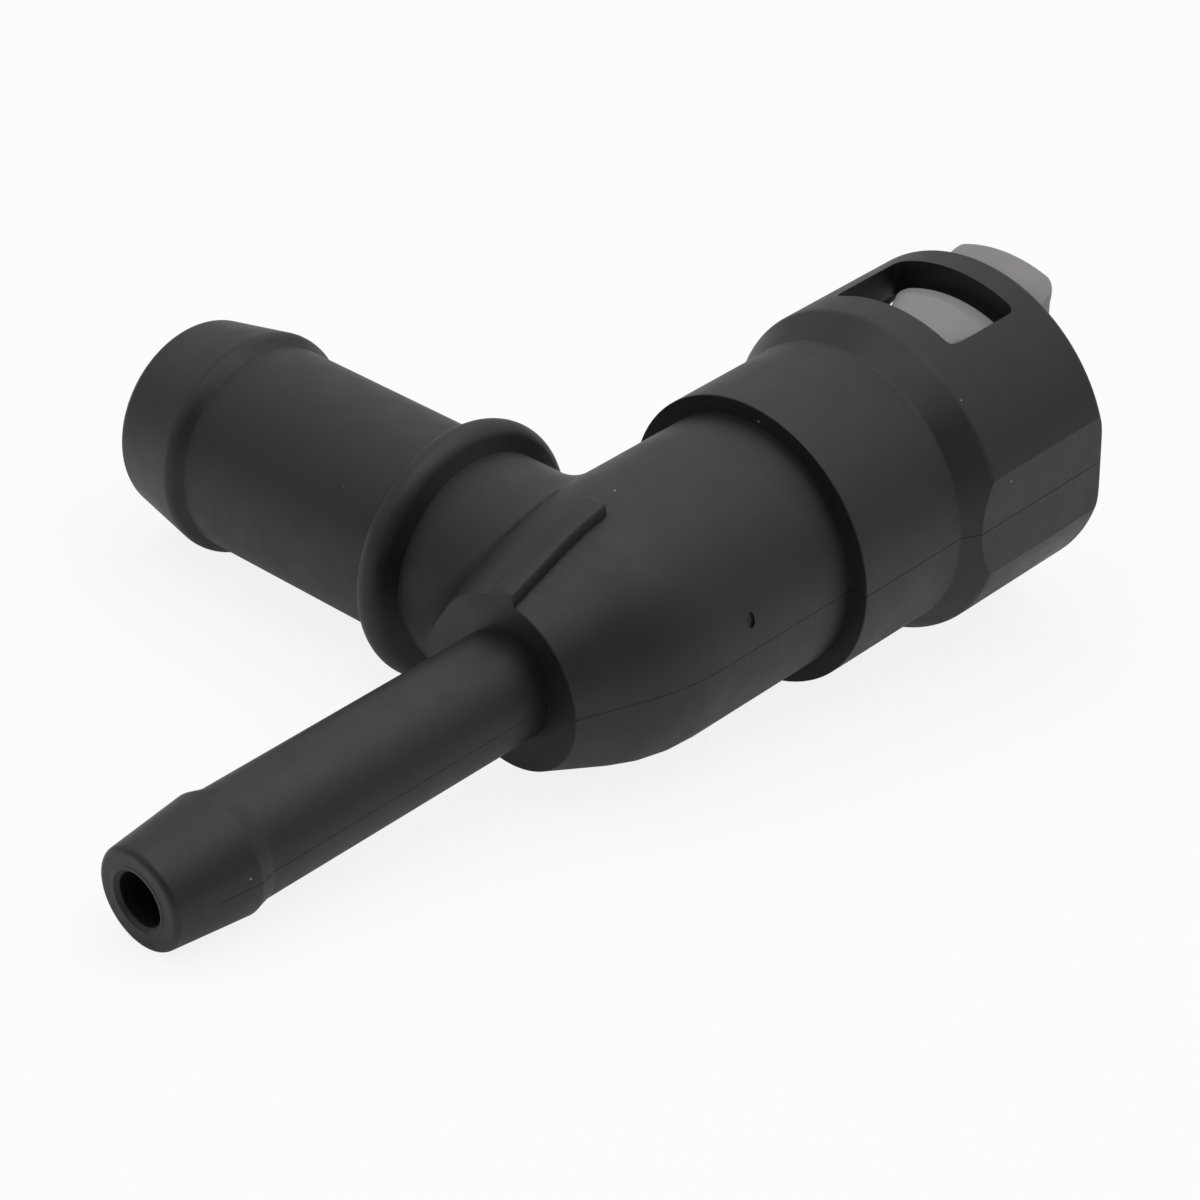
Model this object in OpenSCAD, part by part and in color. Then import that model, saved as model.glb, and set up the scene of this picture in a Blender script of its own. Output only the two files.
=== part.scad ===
// Heater hose connector: a moulded tee with a small hose barb, a large hose
// barb and a push-in socket that snaps over a pipe spigot.
// +X runs to the socket's mouth, +Y along the large barb, +Z up. The origin is
// where the axes of the run and the branch cross.

/* [Pipe and seals] */
// Diameter of the pipe spigot that the socket takes
spigot_d = 18.9; // [17.5:0.1:20]
// Diameter of the bead on that spigot
spigot_bead_d = 22.2; // [21.4:0.1:22.6]
// Gap between the spigot and the bore that guides it
pilot_gap = 0.15; // [0.1:0.05:0.3]
// Thickness of a seal ring's round section
seal_cord = 2.4; // [2:0.1:3]
// How far a seal ring is stretched by the spigot
seal_squeeze = 0.08; // [0.02:0.02:0.12]
// Free length beside a seal ring
seal_play = 0.3; // [0.2:0.05:0.5]
// Length of the spacer ring between the seals
spacer_len = 2; // [1.4:0.1:3]
// Length of the bush that closes the seal chamber
bush_len = 3.6; // [2.6:0.1:5]
// Thickness of the bush's flange
bush_flange = 1; // [0.8:0.1:1.4]
// Gap between the spigot and the spacer or bush
bush_gap = 0.3; // [0.2:0.05:0.5]

/* [Run and socket] */
// Wall of the run tube
run_wall = 2.2; // [1.8:0.1:2.8]
// Distance from the crossing to the shoulder of the seal sleeve
sleeve_start = 17.5; // [16:0.5:24]
// Distance from that shoulder to the floor of the seal chamber
gland_inset = 2.9; // [2:0.1:4]
// Wall of the seal sleeve
sleeve_wall = 1.66; // [1.4:0.02:2]
// Length of the cone from the sleeve to the head
flare_len = 3.1; // [2.4:0.1:5]
// Distance from the retainer's chamber floor to the head's full diameter
head_setback = 0.9; // [0.5:0.1:1.5]
// Wall of the socket head
head_wall = 2.8; // [2.2:0.1:3.4]
// Width across the two flats on the head
head_flats = 28.9; // [28:0.1:29.8]
// Length of the spigot bore between its stop and the seal chamber
pilot_len = 11.9; // [9:0.1:13]
// Step that stops the spigot
stop_step = 0.7; // [0.3:0.1:1]

/* [Windows and retainer] */
// Length of a window along the run
window_len = 8.65; // [7.5:0.05:11]
// Width of a window
window_w = 13.4; // [12:0.1:15]
// Rounding of the windows' corners
window_round = 0.8; // [0.3:0.1:1.5]
// Length of the closed band between the windows and the mouth
mouth_band = 3.15; // [2:0.05:5]
// Length of the retainer's ring
ring_len = 2.7; // [1.8:0.1:4]
// Running gap round the retainer
clip_gap = 0.25; // [0.15:0.05:0.35]
// Thickness of the retainer's arms
arm_t = 1.1; // [0.9:0.05:1.15]
// Room between the spigot's bead and the arms
bead_room = 0.15; // [0.1:0.05:0.2]
// Distance from the window's deep end to the lands that grip behind the bead
land_inset = 3.8; // [3.4:0.1:4.4]
// Width of the retainer's arms
arm_w = 7.6; // [6:0.1:8.5]
// Width of the retainer's pads
pad_w = 11; // [9:0.1:11.6]
// Length of a pad with its ramp
pad_len = 4.6; // [3.6:0.1:5.2]
// How far a pad stands into its window
pad_h = 0.8; // [0.5:0.05:1.4]
// Gap between a pad and the mouth end of its window
pad_gap = 0.85; // [0.3:0.05:1.5]
// How far the release lips reach out of the mouth
lip_reach = 4.2; // [3.2:0.1:6]
// Width of the strips between the pads and the lips
strip_w = 10.4; // [9:0.1:10.8]
// Width of the release lips
lip_w = 12; // [10.8:0.1:12.6]
// How far the release lips flare outwards
lip_flare = 2; // [1.5:0.05:2.8]
// Rounding of the release lips' corners
lip_round = 1.4; // [0.6:0.1:2]

/* [Front cone and rib] */
// Distance from the crossing to the front face
front_len = 12; // [11.4:0.1:13]
// Diameter of the front face
front_d = 16; // [15.4:0.1:17]
// Slope of the cone behind the front face, in degrees
cone_angle = 21.4; // [20:0.2:23]
// Radius of the arc that joins the cone to the run tube
cone_blend = 20; // [14:1:24]
// Width of the rib on top of the cone
rib_w = 2.8; // [2:0.1:4]
// Height of the rib above the cone
rib_h = 0.95; // [0.6:0.05:1.5]
// Distance from the crossing to the end of the rib
rib_end = 0.7; // [0:0.1:3]

/* [Small barb] */
// Outer diameter of the small tube
small_od = 9.84; // [9:0.1:10.6]
// Bore of the small tube
small_bore = 4.72; // [3.6:0.1:6]
// Length of the small tube from the front face to its tip
small_len = 39.5; // [32:0.5:50]
// Diameter over the small barb's ridge
small_ridge_d = 10.66; // [10.6:0.02:11.6]
// Distance from the small barb's tip to its ridge
small_ridge_at = 8; // [6:0.1:10]
// Rounding at the root of the small tube
root_round = 1.3; // [0.8:0.1:2.4]

/* [Large barb] */
// Outer diameter of the large tube
branch_od = 19.3; // [18.4:0.1:19.6]
// Bore of the large tube
branch_bore = 15.4; // [13:0.1:16]
// Distance from the crossing to the large barb's tip
branch_len = 52; // [46:0.5:62]
// Diameter over the large barb's ridge
branch_ridge_d = 21; // [20.4:0.1:22]
// Distance from the large barb's tip to its ridge
branch_ridge_at = 8.2; // [7:0.1:10]
// Distance from the crossing to the middle of the stop bead
bead_at = 17.1; // [17:0.1:22]
// Diameter over the stop bead
bead_d = 23.8; // [22.6:0.1:24.5]
// Rounding between the branch and the run on the socket's side
saddle_round = 3; // [1.8:0.1:3]
// Rounding between the branch and the cone on the small barb's side
crease_round = 8.5; // [3:0.1:9]

/* [Hidden] */
$fn = 96;

arc_steps = 8;
saddle_sections = 48;
saddle_sink = 0.04;
saddle_core = 1.3;
crease_fade = 4;
over = 1;

// Radii of the run, from the spigot outwards
spigot_r = spigot_d / 2;
pilot_r = spigot_r + pilot_gap;
chamber_r = pilot_r - stop_step;
run_r = pilot_r + run_wall;
seal_fit = 0.03;
seal_in_r = spigot_r - seal_squeeze;
gland_r = seal_in_r + seal_cord + seal_fit;
sleeve_r = gland_r + sleeve_wall;
gland_step = 0.6;
cavity_r = gland_r + gland_step;
head_r = cavity_r + head_wall;
bush_r = gland_r - 0.1;
ring_bore_r = spigot_r + bush_gap;

// Stations along the run, from the crossing to the mouth
gland_x = sleeve_start + gland_inset;
stop_x = gland_x - pilot_len;
inner_seal_x = gland_x + seal_play + seal_cord / 2;
spacer_x = inner_seal_x + seal_cord / 2 + seal_play;
outer_seal_x = spacer_x + spacer_len + seal_play + seal_cord / 2;
bush_x = outer_seal_x + seal_cord / 2 + seal_play;
cavity_x = bush_x + bush_len;
head_x = cavity_x + head_setback;
sleeve_end = head_x - flare_len;
flange_seat = 0.05;
flange_end = cavity_x + flange_seat + bush_flange;
ring_x = flange_end + clip_gap;
window_x = ring_x + ring_len + clip_gap;
window_end = window_x + window_len;
mouth_x = window_end + mouth_band;
rim_round = 0.6;
mouth_chamfer = 0.5;
shoulder_round = 0.9;
window_floor = sqrt(pow(cavity_r, 2) - pow(window_w / 2, 2)) - over;

// The front cone and its arc into the run tube
front_x = -front_len;
front_r = front_d / 2;
blend_x = front_x + cone_blend * sin(cone_angle)
    + (run_r - cone_blend * (1 - cos(cone_angle)) - front_r) / tan(cone_angle);
cone_wall = run_wall + 0.2;
front_wall = 2;
floor_x = front_x + front_wall;

// The small tube and its barb
small_r = small_od / 2;
tip_x = front_x - small_len;
face_rim = 0.3;
front_root = min(root_round, front_r - small_r - face_rim);
small_crest = 0.8;
small_taper = 6;
small_tip = 0.7;
small_flank = 15;
small_foot = 2;
small_bevel = 0.35;

// The large tube and its barb
branch_r = branch_od / 2;
large_crest = 1;
large_taper = 10.6;
large_tip = 1.2;
large_flank = 35;
large_foot = 0.8;
large_bevel = 0.4;
cut_reach = branch_len + head_r;

// The retainer's arms, with lands inside and pads outside
clip_r = cavity_r - clip_gap;
arm_x = ring_x + ring_len / 2;
arm_in_r = clip_r - arm_t;
bead_in_r = spigot_bead_d / 2 + bead_room;
land_x = window_x + land_inset;
land_gap = 0.45;
land_r = spigot_r + land_gap;
land_len = 1.8;
land_ramp = 4.6;
pad_r = cavity_r + pad_h;
pad_end = window_end - pad_gap;
pad_x = pad_end - pad_len;
pad_top = 1.6;

// The release lips, from where they widen and flare beyond the mouth
lip_end = mouth_x + lip_reach;
lip_r = clip_r + lip_flare;
lip_x = mouth_x + 0.5;
flare_x = mouth_x + 0.6;
flare_bend = 1.6;
bend_share = 0.55;
bend_r = clip_r + lip_flare * bend_share;
lip_edge = 0.75;
lip_under = 0.5;

// Points of an arc about [cx, cy], angles in degrees
function arc_points(cx, cy, r, from, to) =
    [for (i = [0 : arc_steps])
        let (a = from + (to - from) * i / arc_steps)
        [cx + r * cos(a), cy + r * sin(a)]];

// Section of a hose barb as [distance from the tip, radius] pairs: a rounded
// tip, a tapered lead, a round ridge and a flank with a soft foot on the tube
function barb_points(tube_r, ridge_r, ridge_s, crest, taper, tip, flank, foot) =
    let (
        crest_r = ridge_r - crest,
        tip_r = crest_r + (crest - tip - sin(taper) * (ridge_s - tip)) / cos(taper),
        drop = ridge_r - tube_r - (crest + foot) * (1 - cos(flank)),
        foot_s = ridge_s + (crest + foot) * sin(flank) + drop / tan(flank)
    )
    concat(
        [[0, 0]],
        arc_points(tip, tip_r, tip, 180, 90 + taper),
        arc_points(ridge_s, crest_r, crest, 90 + taper, 90 - flank),
        arc_points(foot_s, tube_r + foot, foot, 270 - flank, 270)
    );

// Section of the stop bead on the branch: a round crest with a steep flank and
// a small foot towards the tip, and a wide foot that touches it towards the run
bead_crest = 1.64;
bead_crest_r = bead_d / 2 - bead_crest;
bead_rise = bead_d / 2 - branch_r;
tip_foot = 0.6;
tip_flank = 67;
tip_foot_y = bead_at + (bead_crest + tip_foot) * sin(tip_flank)
    + (bead_rise - (bead_crest + tip_foot) * (1 - cos(tip_flank))) / tan(tip_flank);
run_foot = 3.2;
run_flank = acos(1 - bead_rise / (bead_crest + run_foot));
run_foot_y = bead_at - (bead_crest + run_foot) * sin(run_flank);

// Outer radius of the run's offset surface at x, a distance g outside it
function blend_sine(x, g) = min((blend_x - x) / (cone_blend + g), sin(cone_angle));
function offset_r(x, g) =
    x >= blend_x ? run_r + g
    : x >= blend_x - (cone_blend + g) * sin(cone_angle)
        ? run_r - cone_blend + sqrt(pow(cone_blend + g, 2) - pow(blend_x - x, 2))
        : front_r + (x - front_x) * tan(cone_angle) + g / cos(cone_angle);

// Outline of the run's cone and arc, raised by g, from the front face on
function cone_points(g) = concat(
    [[front_x, front_r + g]],
    arc_points(blend_x, run_r - cone_blend, cone_blend + g, 90 + cone_angle, 90)
);

module along_x() {
    rotate([0, 90, 0]) children();
}

module along_y() {
    rotate([-90, 0, 0]) children();
}

// A plain ring between two stations on X
module hoop(from, to, inner, outer) {
    along_x() translate([0, 0, from]) difference() {
        cylinder(h = to - from, r = outer);
        translate([0, 0, -over]) cylinder(h = to - from + 2 * over, r = inner);
    }
}

// A solid of revolution about X from [x, radius] pairs
module turned_x(points) {
    along_x() rotate_extrude() polygon([for (p = points) [p[1], p[0]]]);
}

// A bore from its open end inwards, with a bevelled edge
module bevelled_bore(r, depth, bevel) {
    translate([0, 0, -over]) cylinder(h = depth + over, r = r);
    translate([0, 0, -over]) cylinder(h = bevel + over, r1 = r + bevel + over, r2 = r);
}

// The run: small barb, small tube, front face, cone, run tube, sleeve and head
module run_outside() {
    small_barb = barb_points(small_r, small_ridge_d / 2, small_ridge_at, small_crest,
        small_taper, small_tip, small_flank, small_foot);
    turned_x(concat(
        [for (p = small_barb) [tip_x + p[0], p[1]]],
        arc_points(front_x - front_root, small_r + front_root, front_root, 270, 360),
        cone_points(0),
        arc_points(sleeve_start - shoulder_round, run_r + shoulder_round, shoulder_round, 270, 360),
        [[sleeve_start, sleeve_r], [sleeve_end, sleeve_r], [head_x, head_r]],
        arc_points(mouth_x - rim_round, head_r - rim_round, rim_round, 90, 0),
        [[mouth_x, 0]]
    ));
}

// The branch: large barb, large tube, stop bead and neck
module branch_outside() {
    large_barb = barb_points(branch_r, branch_ridge_d / 2, branch_ridge_at, large_crest,
        large_taper, large_tip, large_flank, large_foot);
    outline = concat(
        [for (p = large_barb) [p[1], branch_len - p[0]]],
        [for (p = arc_points(0, 0, tip_foot, 270, 270 - tip_flank))
            [branch_r + tip_foot + p[1], tip_foot_y + p[0]]],
        [for (p = arc_points(0, 0, bead_crest, 90 - tip_flank, 90 + run_flank))
            [bead_crest_r + p[1], bead_at + p[0]]],
        [for (p = arc_points(0, 0, run_foot, 270 + run_flank, 270))
            [branch_r + run_foot + p[1], run_foot_y + p[0]]],
        [[branch_r, 0], [0, 0]]
    );
    along_y() rotate_extrude() polygon(outline);
}

// The rib that stands on top of the cone and ends short of the crossing
module rib() {
    intersection() {
        turned_x(concat(
            [[front_x, 0]],
            cone_points(rib_h),
            [[blend_x + over, run_r + rib_h], [blend_x + over, 0]]
        ));
        translate([front_x, -rib_w / 2, 0])
            cube([front_len - rib_end, rib_w, cut_reach]);
    }
}

// Rounding between branch and run: a ball that touches both rolls round the
// branch and grows where it comes between the stop bead and the front cone
function saddle_r(t) =
    saddle_round + (crease_round - saddle_round) * pow(max(-cos(t), 0), crease_fade);

// The ball of radius g against the branch, by its centre's height y: how far
// the contact leans up the stop bead, for a ball that fits into the bead's foot
function ball_lean(y, g) =
    y <= run_foot_y || g >= run_foot ? 0
    : y < run_foot_y + (run_foot - g) * sin(run_flank)
        ? asin((y - run_foot_y) / (run_foot - g))
        : asin((bead_at - y) / (g + bead_crest));

// The radius at which that ball's centre runs round the branch
function ball_out(y, g) =
    let (lean = ball_lean(y, g))
    lean == 0 ? branch_r + g
    : y < run_foot_y + (run_foot - g) * sin(run_flank)
        ? branch_r + run_foot - (run_foot - g) * cos(lean)
        : bead_crest_r + (g + bead_crest) * cos(lean);

// Height at which the ball also touches the run, by halving the span
function ball_y(t, g, low, high, steps) =
    let (
        mid = (low + high) / 2,
        out = ball_out(mid, g),
        reach = offset_r(out * cos(t), g)
    )
    steps == 0 ? mid
    : mid * mid + pow(out * sin(t), 2) > reach * reach
        ? ball_y(t, g, low, mid, steps - 1)
        : ball_y(t, g, mid, high, steps - 1);

function saddle_section(t) =
    let (
        g = saddle_r(t),
        y = ball_y(t, g, 0, bead_at, 30),
        out = ball_out(y, g),
        up = ball_lean(y, g),
        x = out * cos(t),
        z = out * sin(t),
        reach = offset_r(x, g),
        lean = x >= blend_x ? 0 : asin(blend_sine(x, g)),
        to_branch = [-cos(t) * cos(up), sin(up), -sin(t) * cos(up)],
        to_run = [sin(lean), -y / reach * cos(lean), -z / reach * cos(lean)],
        span = acos(to_branch * to_run),
        centre = [x, y, z],
        core_x = (branch_r - saddle_core) * cos(t),
        core_z = (branch_r - saddle_core) * sin(t),
        core_y = sqrt(pow(offset_r(core_x, 0), 2) - core_z * core_z) - saddle_core
    )
    concat(
        [centre + (g + saddle_sink) * to_branch],
        [for (i = [1 : arc_steps - 1])
            let (a = span * i / arc_steps)
            centre + g * (sin(span - a) * to_branch + sin(a) * to_run) / sin(span)],
        [centre + (g + saddle_sink) * to_run],
        [[core_x, core_y, core_z], [core_x, y + g * sin(up), core_z]]
    );

module saddle_band() {
    ring = arc_steps + 3;
    points = [for (k = [0 : saddle_sections - 1]) each saddle_section(360 * k / saddle_sections)];
    faces = [for (k = [0 : saddle_sections - 1])
        let (a = k * ring, b = ((k + 1) % saddle_sections) * ring)
        for (i = [0 : ring - 1])
            let (j = (i + 1) % ring)
            each [[a + i, a + j, b + i], [a + j, b + j, b + i]]];
    polyhedron(points = points, faces = faces, convexity = 6);
}

// The rounding, cut off flush with the front face
module saddle() {
    intersection() {
        saddle_band();
        translate([front_x, 0, -cut_reach / 2]) cube(cut_reach);
    }
}

// Everything that is open inside: socket, seal chamber, spigot bore, the flow
// chamber that follows the cone, and the bores of both tubes
module inside() {
    turned_x([
        [mouth_x + over, 0],
        [mouth_x + over, cavity_r + mouth_chamfer + over],
        [mouth_x - mouth_chamfer, cavity_r],
        [cavity_x, cavity_r],
        [cavity_x, gland_r],
        [gland_x, gland_r],
        [gland_x, 0]
    ]);
    along_x() translate([0, 0, stop_x]) cylinder(h = pilot_len + over, r = pilot_r);
    cone_lift = cone_wall / cos(cone_angle);
    cone_floor_r = front_r + (floor_x - front_x) * tan(cone_angle) - cone_lift;
    cone_top_x = front_x + (chamber_r - front_r + cone_lift) / tan(cone_angle);
    turned_x([
        [floor_x, 0],
        [floor_x, cone_floor_r],
        [cone_top_x, chamber_r],
        [stop_x + over, chamber_r],
        [stop_x + over, 0]
    ]);
    along_x() translate([0, 0, tip_x])
        bevelled_bore(small_bore / 2, floor_x - tip_x + over, small_bevel);
    along_y() translate([0, 0, branch_len]) rotate([180, 0, 0])
        bevelled_bore(branch_bore / 2, branch_len, large_bevel);
}

// The two windows in the head, top and bottom, for the retainer's pads
module windows() {
    for (side = [0, 180])
        rotate([side, 0, 0])
            translate([0, 0, window_floor]) linear_extrude(height = cut_reach)
                translate([window_x, -window_w / 2])
                    rounded_plate(window_len, window_w, window_round);
}

// A flat plate with rounded corners, from the origin
module rounded_plate(len, width, corner) {
    for (x = [corner, len - corner], y = [corner, width - corner])
        translate([x, y]) circle(r = corner, $fn = 32);
    translate([corner, 0]) square([len - 2 * corner, width]);
    translate([0, corner]) square([len, width - 2 * corner]);
}

// What the two flats on the head take off
module flats() {
    for (side = [0, 180])
        rotate([side, 0, 0])
            translate([sleeve_end - over, head_flats / 2, -cut_reach / 2])
                cube([mouth_x - sleeve_end + 2 * over, head_r, cut_reach]);
}

module body() {
    color([0.16, 0.16, 0.17]) difference() {
        union() {
            difference() {
                run_outside();
                flats();
            }
            branch_outside();
            saddle();
            rib();
        }
        inside();
        windows();
    }
}

// One arm of the retainer, on top: a strip from the ring on, a ramped pad
// outside, a ramped land inside that grips behind the bead, and a release lip
module retainer_arm() {
    section = [
        [arm_x, clip_r],
        [pad_x, clip_r],
        [pad_end - pad_top, pad_r],
        [pad_end, pad_r],
        [pad_end, clip_r],
        [flare_x, clip_r],
        [flare_x + flare_bend, bend_r],
        [lip_end, lip_r],
        [lip_end, lip_r - lip_edge],
        [flare_x + flare_bend + lip_under, bend_r - arm_t],
        [flare_x + lip_under, arm_in_r],
        [land_x + land_len + land_ramp, arm_in_r],
        [land_x + land_len, land_r],
        [land_x, land_r],
        [land_x, bead_in_r],
        [arm_x, bead_in_r]
    ];
    intersection() {
        turned_x(section);
        linear_extrude(height = cut_reach) arm_outline();
    }
}

// Plan of an arm: narrow at the ring, widening to the pad, with a rounded lip
module arm_outline() {
    polygon([
        [arm_x, -arm_w / 2],
        [pad_x, -arm_w / 2],
        [pad_end, -pad_w / 2],
        [pad_end, pad_w / 2],
        [pad_x, arm_w / 2],
        [arm_x, arm_w / 2]
    ]);
    translate([pad_end - over, -strip_w / 2])
        square([mouth_x - pad_end + 2 * over, strip_w]);
    translate([lip_x, -lip_w / 2]) rounded_plate(lip_end - lip_x, lip_w, lip_round);
}

module retainer() {
    color([0.62, 0.62, 0.6]) union() {
        hoop(ring_x, ring_x + ring_len, ring_bore_r, clip_r);
        retainer_arm();
        rotate([180, 0, 0]) retainer_arm();
    }
}

module seal(at) {
    color([0.09, 0.09, 0.1]) along_x() translate([0, 0, at])
        rotate_extrude() translate([seal_in_r + seal_cord / 2, 0]) circle(d = seal_cord, $fn = 48);
}

module inner_seal() {
    seal(inner_seal_x);
}

module outer_seal() {
    seal(outer_seal_x);
}

module spacer_ring() {
    color([0.3, 0.3, 0.32]) hoop(spacer_x, spacer_x + spacer_len, ring_bore_r, bush_r);
}

// The bush: a sleeve in the seal chamber with a flange on the chamber's rim
module seal_bush() {
    color([0.3, 0.3, 0.32]) union() {
        hoop(bush_x, flange_end, ring_bore_r, bush_r);
        hoop(cavity_x + flange_seat, flange_end, ring_bore_r, cavity_r - clip_gap);
    }
}

body();
retainer();
inner_seal();
spacer_ring();
outer_seal();
seal_bush();
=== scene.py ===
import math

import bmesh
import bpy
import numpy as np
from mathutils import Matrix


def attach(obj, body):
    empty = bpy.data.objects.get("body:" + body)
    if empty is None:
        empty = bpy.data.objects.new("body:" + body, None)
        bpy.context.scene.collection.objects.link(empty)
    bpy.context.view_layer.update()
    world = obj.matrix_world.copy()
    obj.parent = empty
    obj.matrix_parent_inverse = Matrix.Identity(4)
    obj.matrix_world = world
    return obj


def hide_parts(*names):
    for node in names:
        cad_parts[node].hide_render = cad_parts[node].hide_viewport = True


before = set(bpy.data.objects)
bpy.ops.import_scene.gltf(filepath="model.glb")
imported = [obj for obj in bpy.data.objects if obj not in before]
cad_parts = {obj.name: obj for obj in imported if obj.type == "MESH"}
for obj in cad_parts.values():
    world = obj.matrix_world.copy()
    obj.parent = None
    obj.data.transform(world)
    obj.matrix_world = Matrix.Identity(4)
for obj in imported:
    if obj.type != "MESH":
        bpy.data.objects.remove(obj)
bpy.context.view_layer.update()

# %% [markdown]
# # A heater hose connector in black moulded plastic
# The real object is one moulding with three ends: a slim hose barb, a wide hose barb at its side,
# and a socket that snaps over a pipe. A pale retainer and a pack of rings sit inside the socket.
# The CAD model above is the frame: every piece here is made in the same place and size, in
# millimetres, and turned into metres when its mesh is made.

MM = 0.001

# %% [markdown]
# ## Outlines with soft corners
# Nearly everything on this connector is round about an axis, as the moulder's core pins and
# cavities were turned on a lathe. So a shape starts as a short list of corners: distance along the
# axis, radius, and how far the corner is rounded. Each corner becomes an arc. Along with each point
# goes the direction that the surface faces there, before and after it, which is the same on an arc
# and differs on a crisp edge. Blender could guess these directions from the faces, but then a long
# straight tube next to a small rounding looks swollen. Worked out here, they are exact.

# %% Outlines
ARC_STEP = math.radians(8)


def unit(v):
    return v / np.linalg.norm(v)


def left_of(direction):
    return np.array([-direction[1], direction[0]])


def outline(corners, closed=False):
    """Points (place, facing before, facing after). The material lies on the right of the walk."""
    places = [np.array(c[:2], float) for c in corners]
    found = []
    for i, corner in enumerate(corners):
        at = places[i]
        back = places[i - 1] - at
        ahead = places[(i + 1) % len(places)] - at
        before, after = left_of(-unit(back)), left_of(unit(ahead))
        if not closed and i == 0:
            found.append((at, after, after))
            continue
        if not closed and i == len(corners) - 1:
            found.append((at, before, before))
            continue
        rounding = corner[2] if len(corner) > 2 else 0
        turn = math.acos(min(max(float(before @ after), -1), 1))
        if rounding == 0 or turn < 1e-4:
            found.append((at, before, after))
            continue
        bend = np.sign(back[1] * ahead[0] - back[0] * ahead[1])
        start = at + unit(back) * rounding * math.tan(turn / 2)
        centre = start + bend * rounding * before
        steps = max(2, math.ceil(turn / ARC_STEP))
        for k in range(steps + 1):
            facing = (math.sin((1 - k / steps) * turn) * before
                      + math.sin(k / steps * turn) * after) / math.sin(turn)
            found.append((centre - bend * rounding * facing, facing, facing))
    return found


square_corner = outline([(0, 0), (0, 5, 1), (5, 5)])
print("a square corner rounded by 1 mm becomes", len(square_corner) - 2, "points")

# %% [markdown]
# ## Turning an outline into a solid
# The outline is spun about X for the run, or about Y for the branch. The facing of each corner is
# kept in a mesh attribute, because the solids are joined and cut by booleans next, and a boolean
# carries attributes along to the new faces. A closed outline away from the axis gives a ring.

# %% Solids of revolution
def solid(name, verts, faces, facing):
    mesh = bpy.data.meshes.new(name)
    mesh.from_pydata([tuple(v) for v in verts], [], faces)
    kept = mesh.attributes.new("facing", "FLOAT_VECTOR", "CORNER")
    kept.data.foreach_set("vector", np.asarray(facing, np.float32).ravel())
    made = bpy.data.objects.new(name, mesh)
    bpy.context.scene.collection.objects.link(made)
    return made


def turned(name, points, axis, turns, closed=False):
    angles = np.arange(turns) * 2 * math.pi / turns
    cos, sin = np.cos(angles), np.sin(angles)

    def spread(along, out):
        flat = np.full(turns, along)
        if axis == "X":
            return np.stack([flat, out * cos, out * sin], -1)
        return np.stack([-out * cos, flat, out * sin], -1)

    verts, rows = [], []
    for place, _, _ in points:
        if place[1] < 1e-6:
            rows.append([len(verts)] * turns)
            verts.append(spread(place[0], 0)[0])
        else:
            rows.append(list(range(len(verts), len(verts) + turns)))
            verts.extend(spread(*place))
    faces, facing = [], []
    count = len(points)
    for i in range(count if closed else count - 1):
        k = (i + 1) % count
        here, there = rows[i], rows[k]
        at_here, at_there = spread(*points[i][2]), spread(*points[k][1])
        for j in range(turns):
            n = (j + 1) % turns
            ring = [(here[j], at_here[j]), (here[n], at_here[n]),
                    (there[n], at_there[n]), (there[j], at_there[j])]
            if here[j] == here[n]:
                ring.pop(0)
            elif there[j] == there[n]:
                ring.pop()
            faces.append([v for v, _ in ring])
            facing.extend(f for _, f in ring)
    return solid(name, verts, faces, facing)


# %% [markdown]
# ## Joining and cutting
# Where two tubes meet, the true edge between them is what a boolean finds, and by hand it would
# take far longer. The catch is its long thin triangles, which shade badly. So the facing that each
# solid brought along is set as the finished mesh's normals, and the triangles don't show. A cutter
# turns its facing round, because its outside becomes the inside of the hole.

# %% Booleans that keep the shading
def with_auto_facing(made, sharp):
    """For solids without exact facings: soft inside, crisp where faces turn more than sharp."""
    mesh = made.data
    bm = bmesh.new()
    bm.from_mesh(mesh)
    bmesh.ops.recalc_face_normals(bm, faces=bm.faces)
    bm.to_mesh(mesh)
    bm.free()
    mesh.shade_smooth()
    mesh.set_sharp_from_angle(angle=math.radians(sharp))
    values = np.zeros(len(mesh.loops) * 3, np.float32)
    mesh.corner_normals.foreach_get("vector", values)
    kept = mesh.attributes.new("facing", "FLOAT_VECTOR", "CORNER")
    kept.data.foreach_set("vector", values)
    return made


def lofted(name, rings, sharp=30):
    """A solid through closed rings of points, with flat ends."""
    size = len(rings[0])
    verts = [tuple(p) for ring in rings for p in ring]
    faces = [(a + j, a + (j + 1) % size, a + size + (j + 1) % size, a + size + j)
             for a in range(0, len(verts) - size, size) for j in range(size)]
    faces += [tuple(range(size)), tuple(range(len(verts) - size, len(verts)))]
    mesh = bpy.data.meshes.new(name)
    mesh.from_pydata(verts, [], faces)
    made = bpy.data.objects.new(name, mesh)
    bpy.context.scene.collection.objects.link(made)
    return with_auto_facing(made, sharp)


def block(name, low, high):
    (x0, y0, z0), (x1, y1, z1) = low, high
    return lofted(name, [[(x, y0, z0), (x, y1, z0), (x, y1, z1), (x, y0, z1)] for x in (x0, x1)])


def side_block(name, side, low_x, high_x, near, far):
    """A block beside the run, on the side 1 or -1 of it, from near to far."""
    low_y, high_y = sorted((side * near, side * far))
    return block(name, (low_x, low_y, -far), (high_x, high_y, far))


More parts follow.
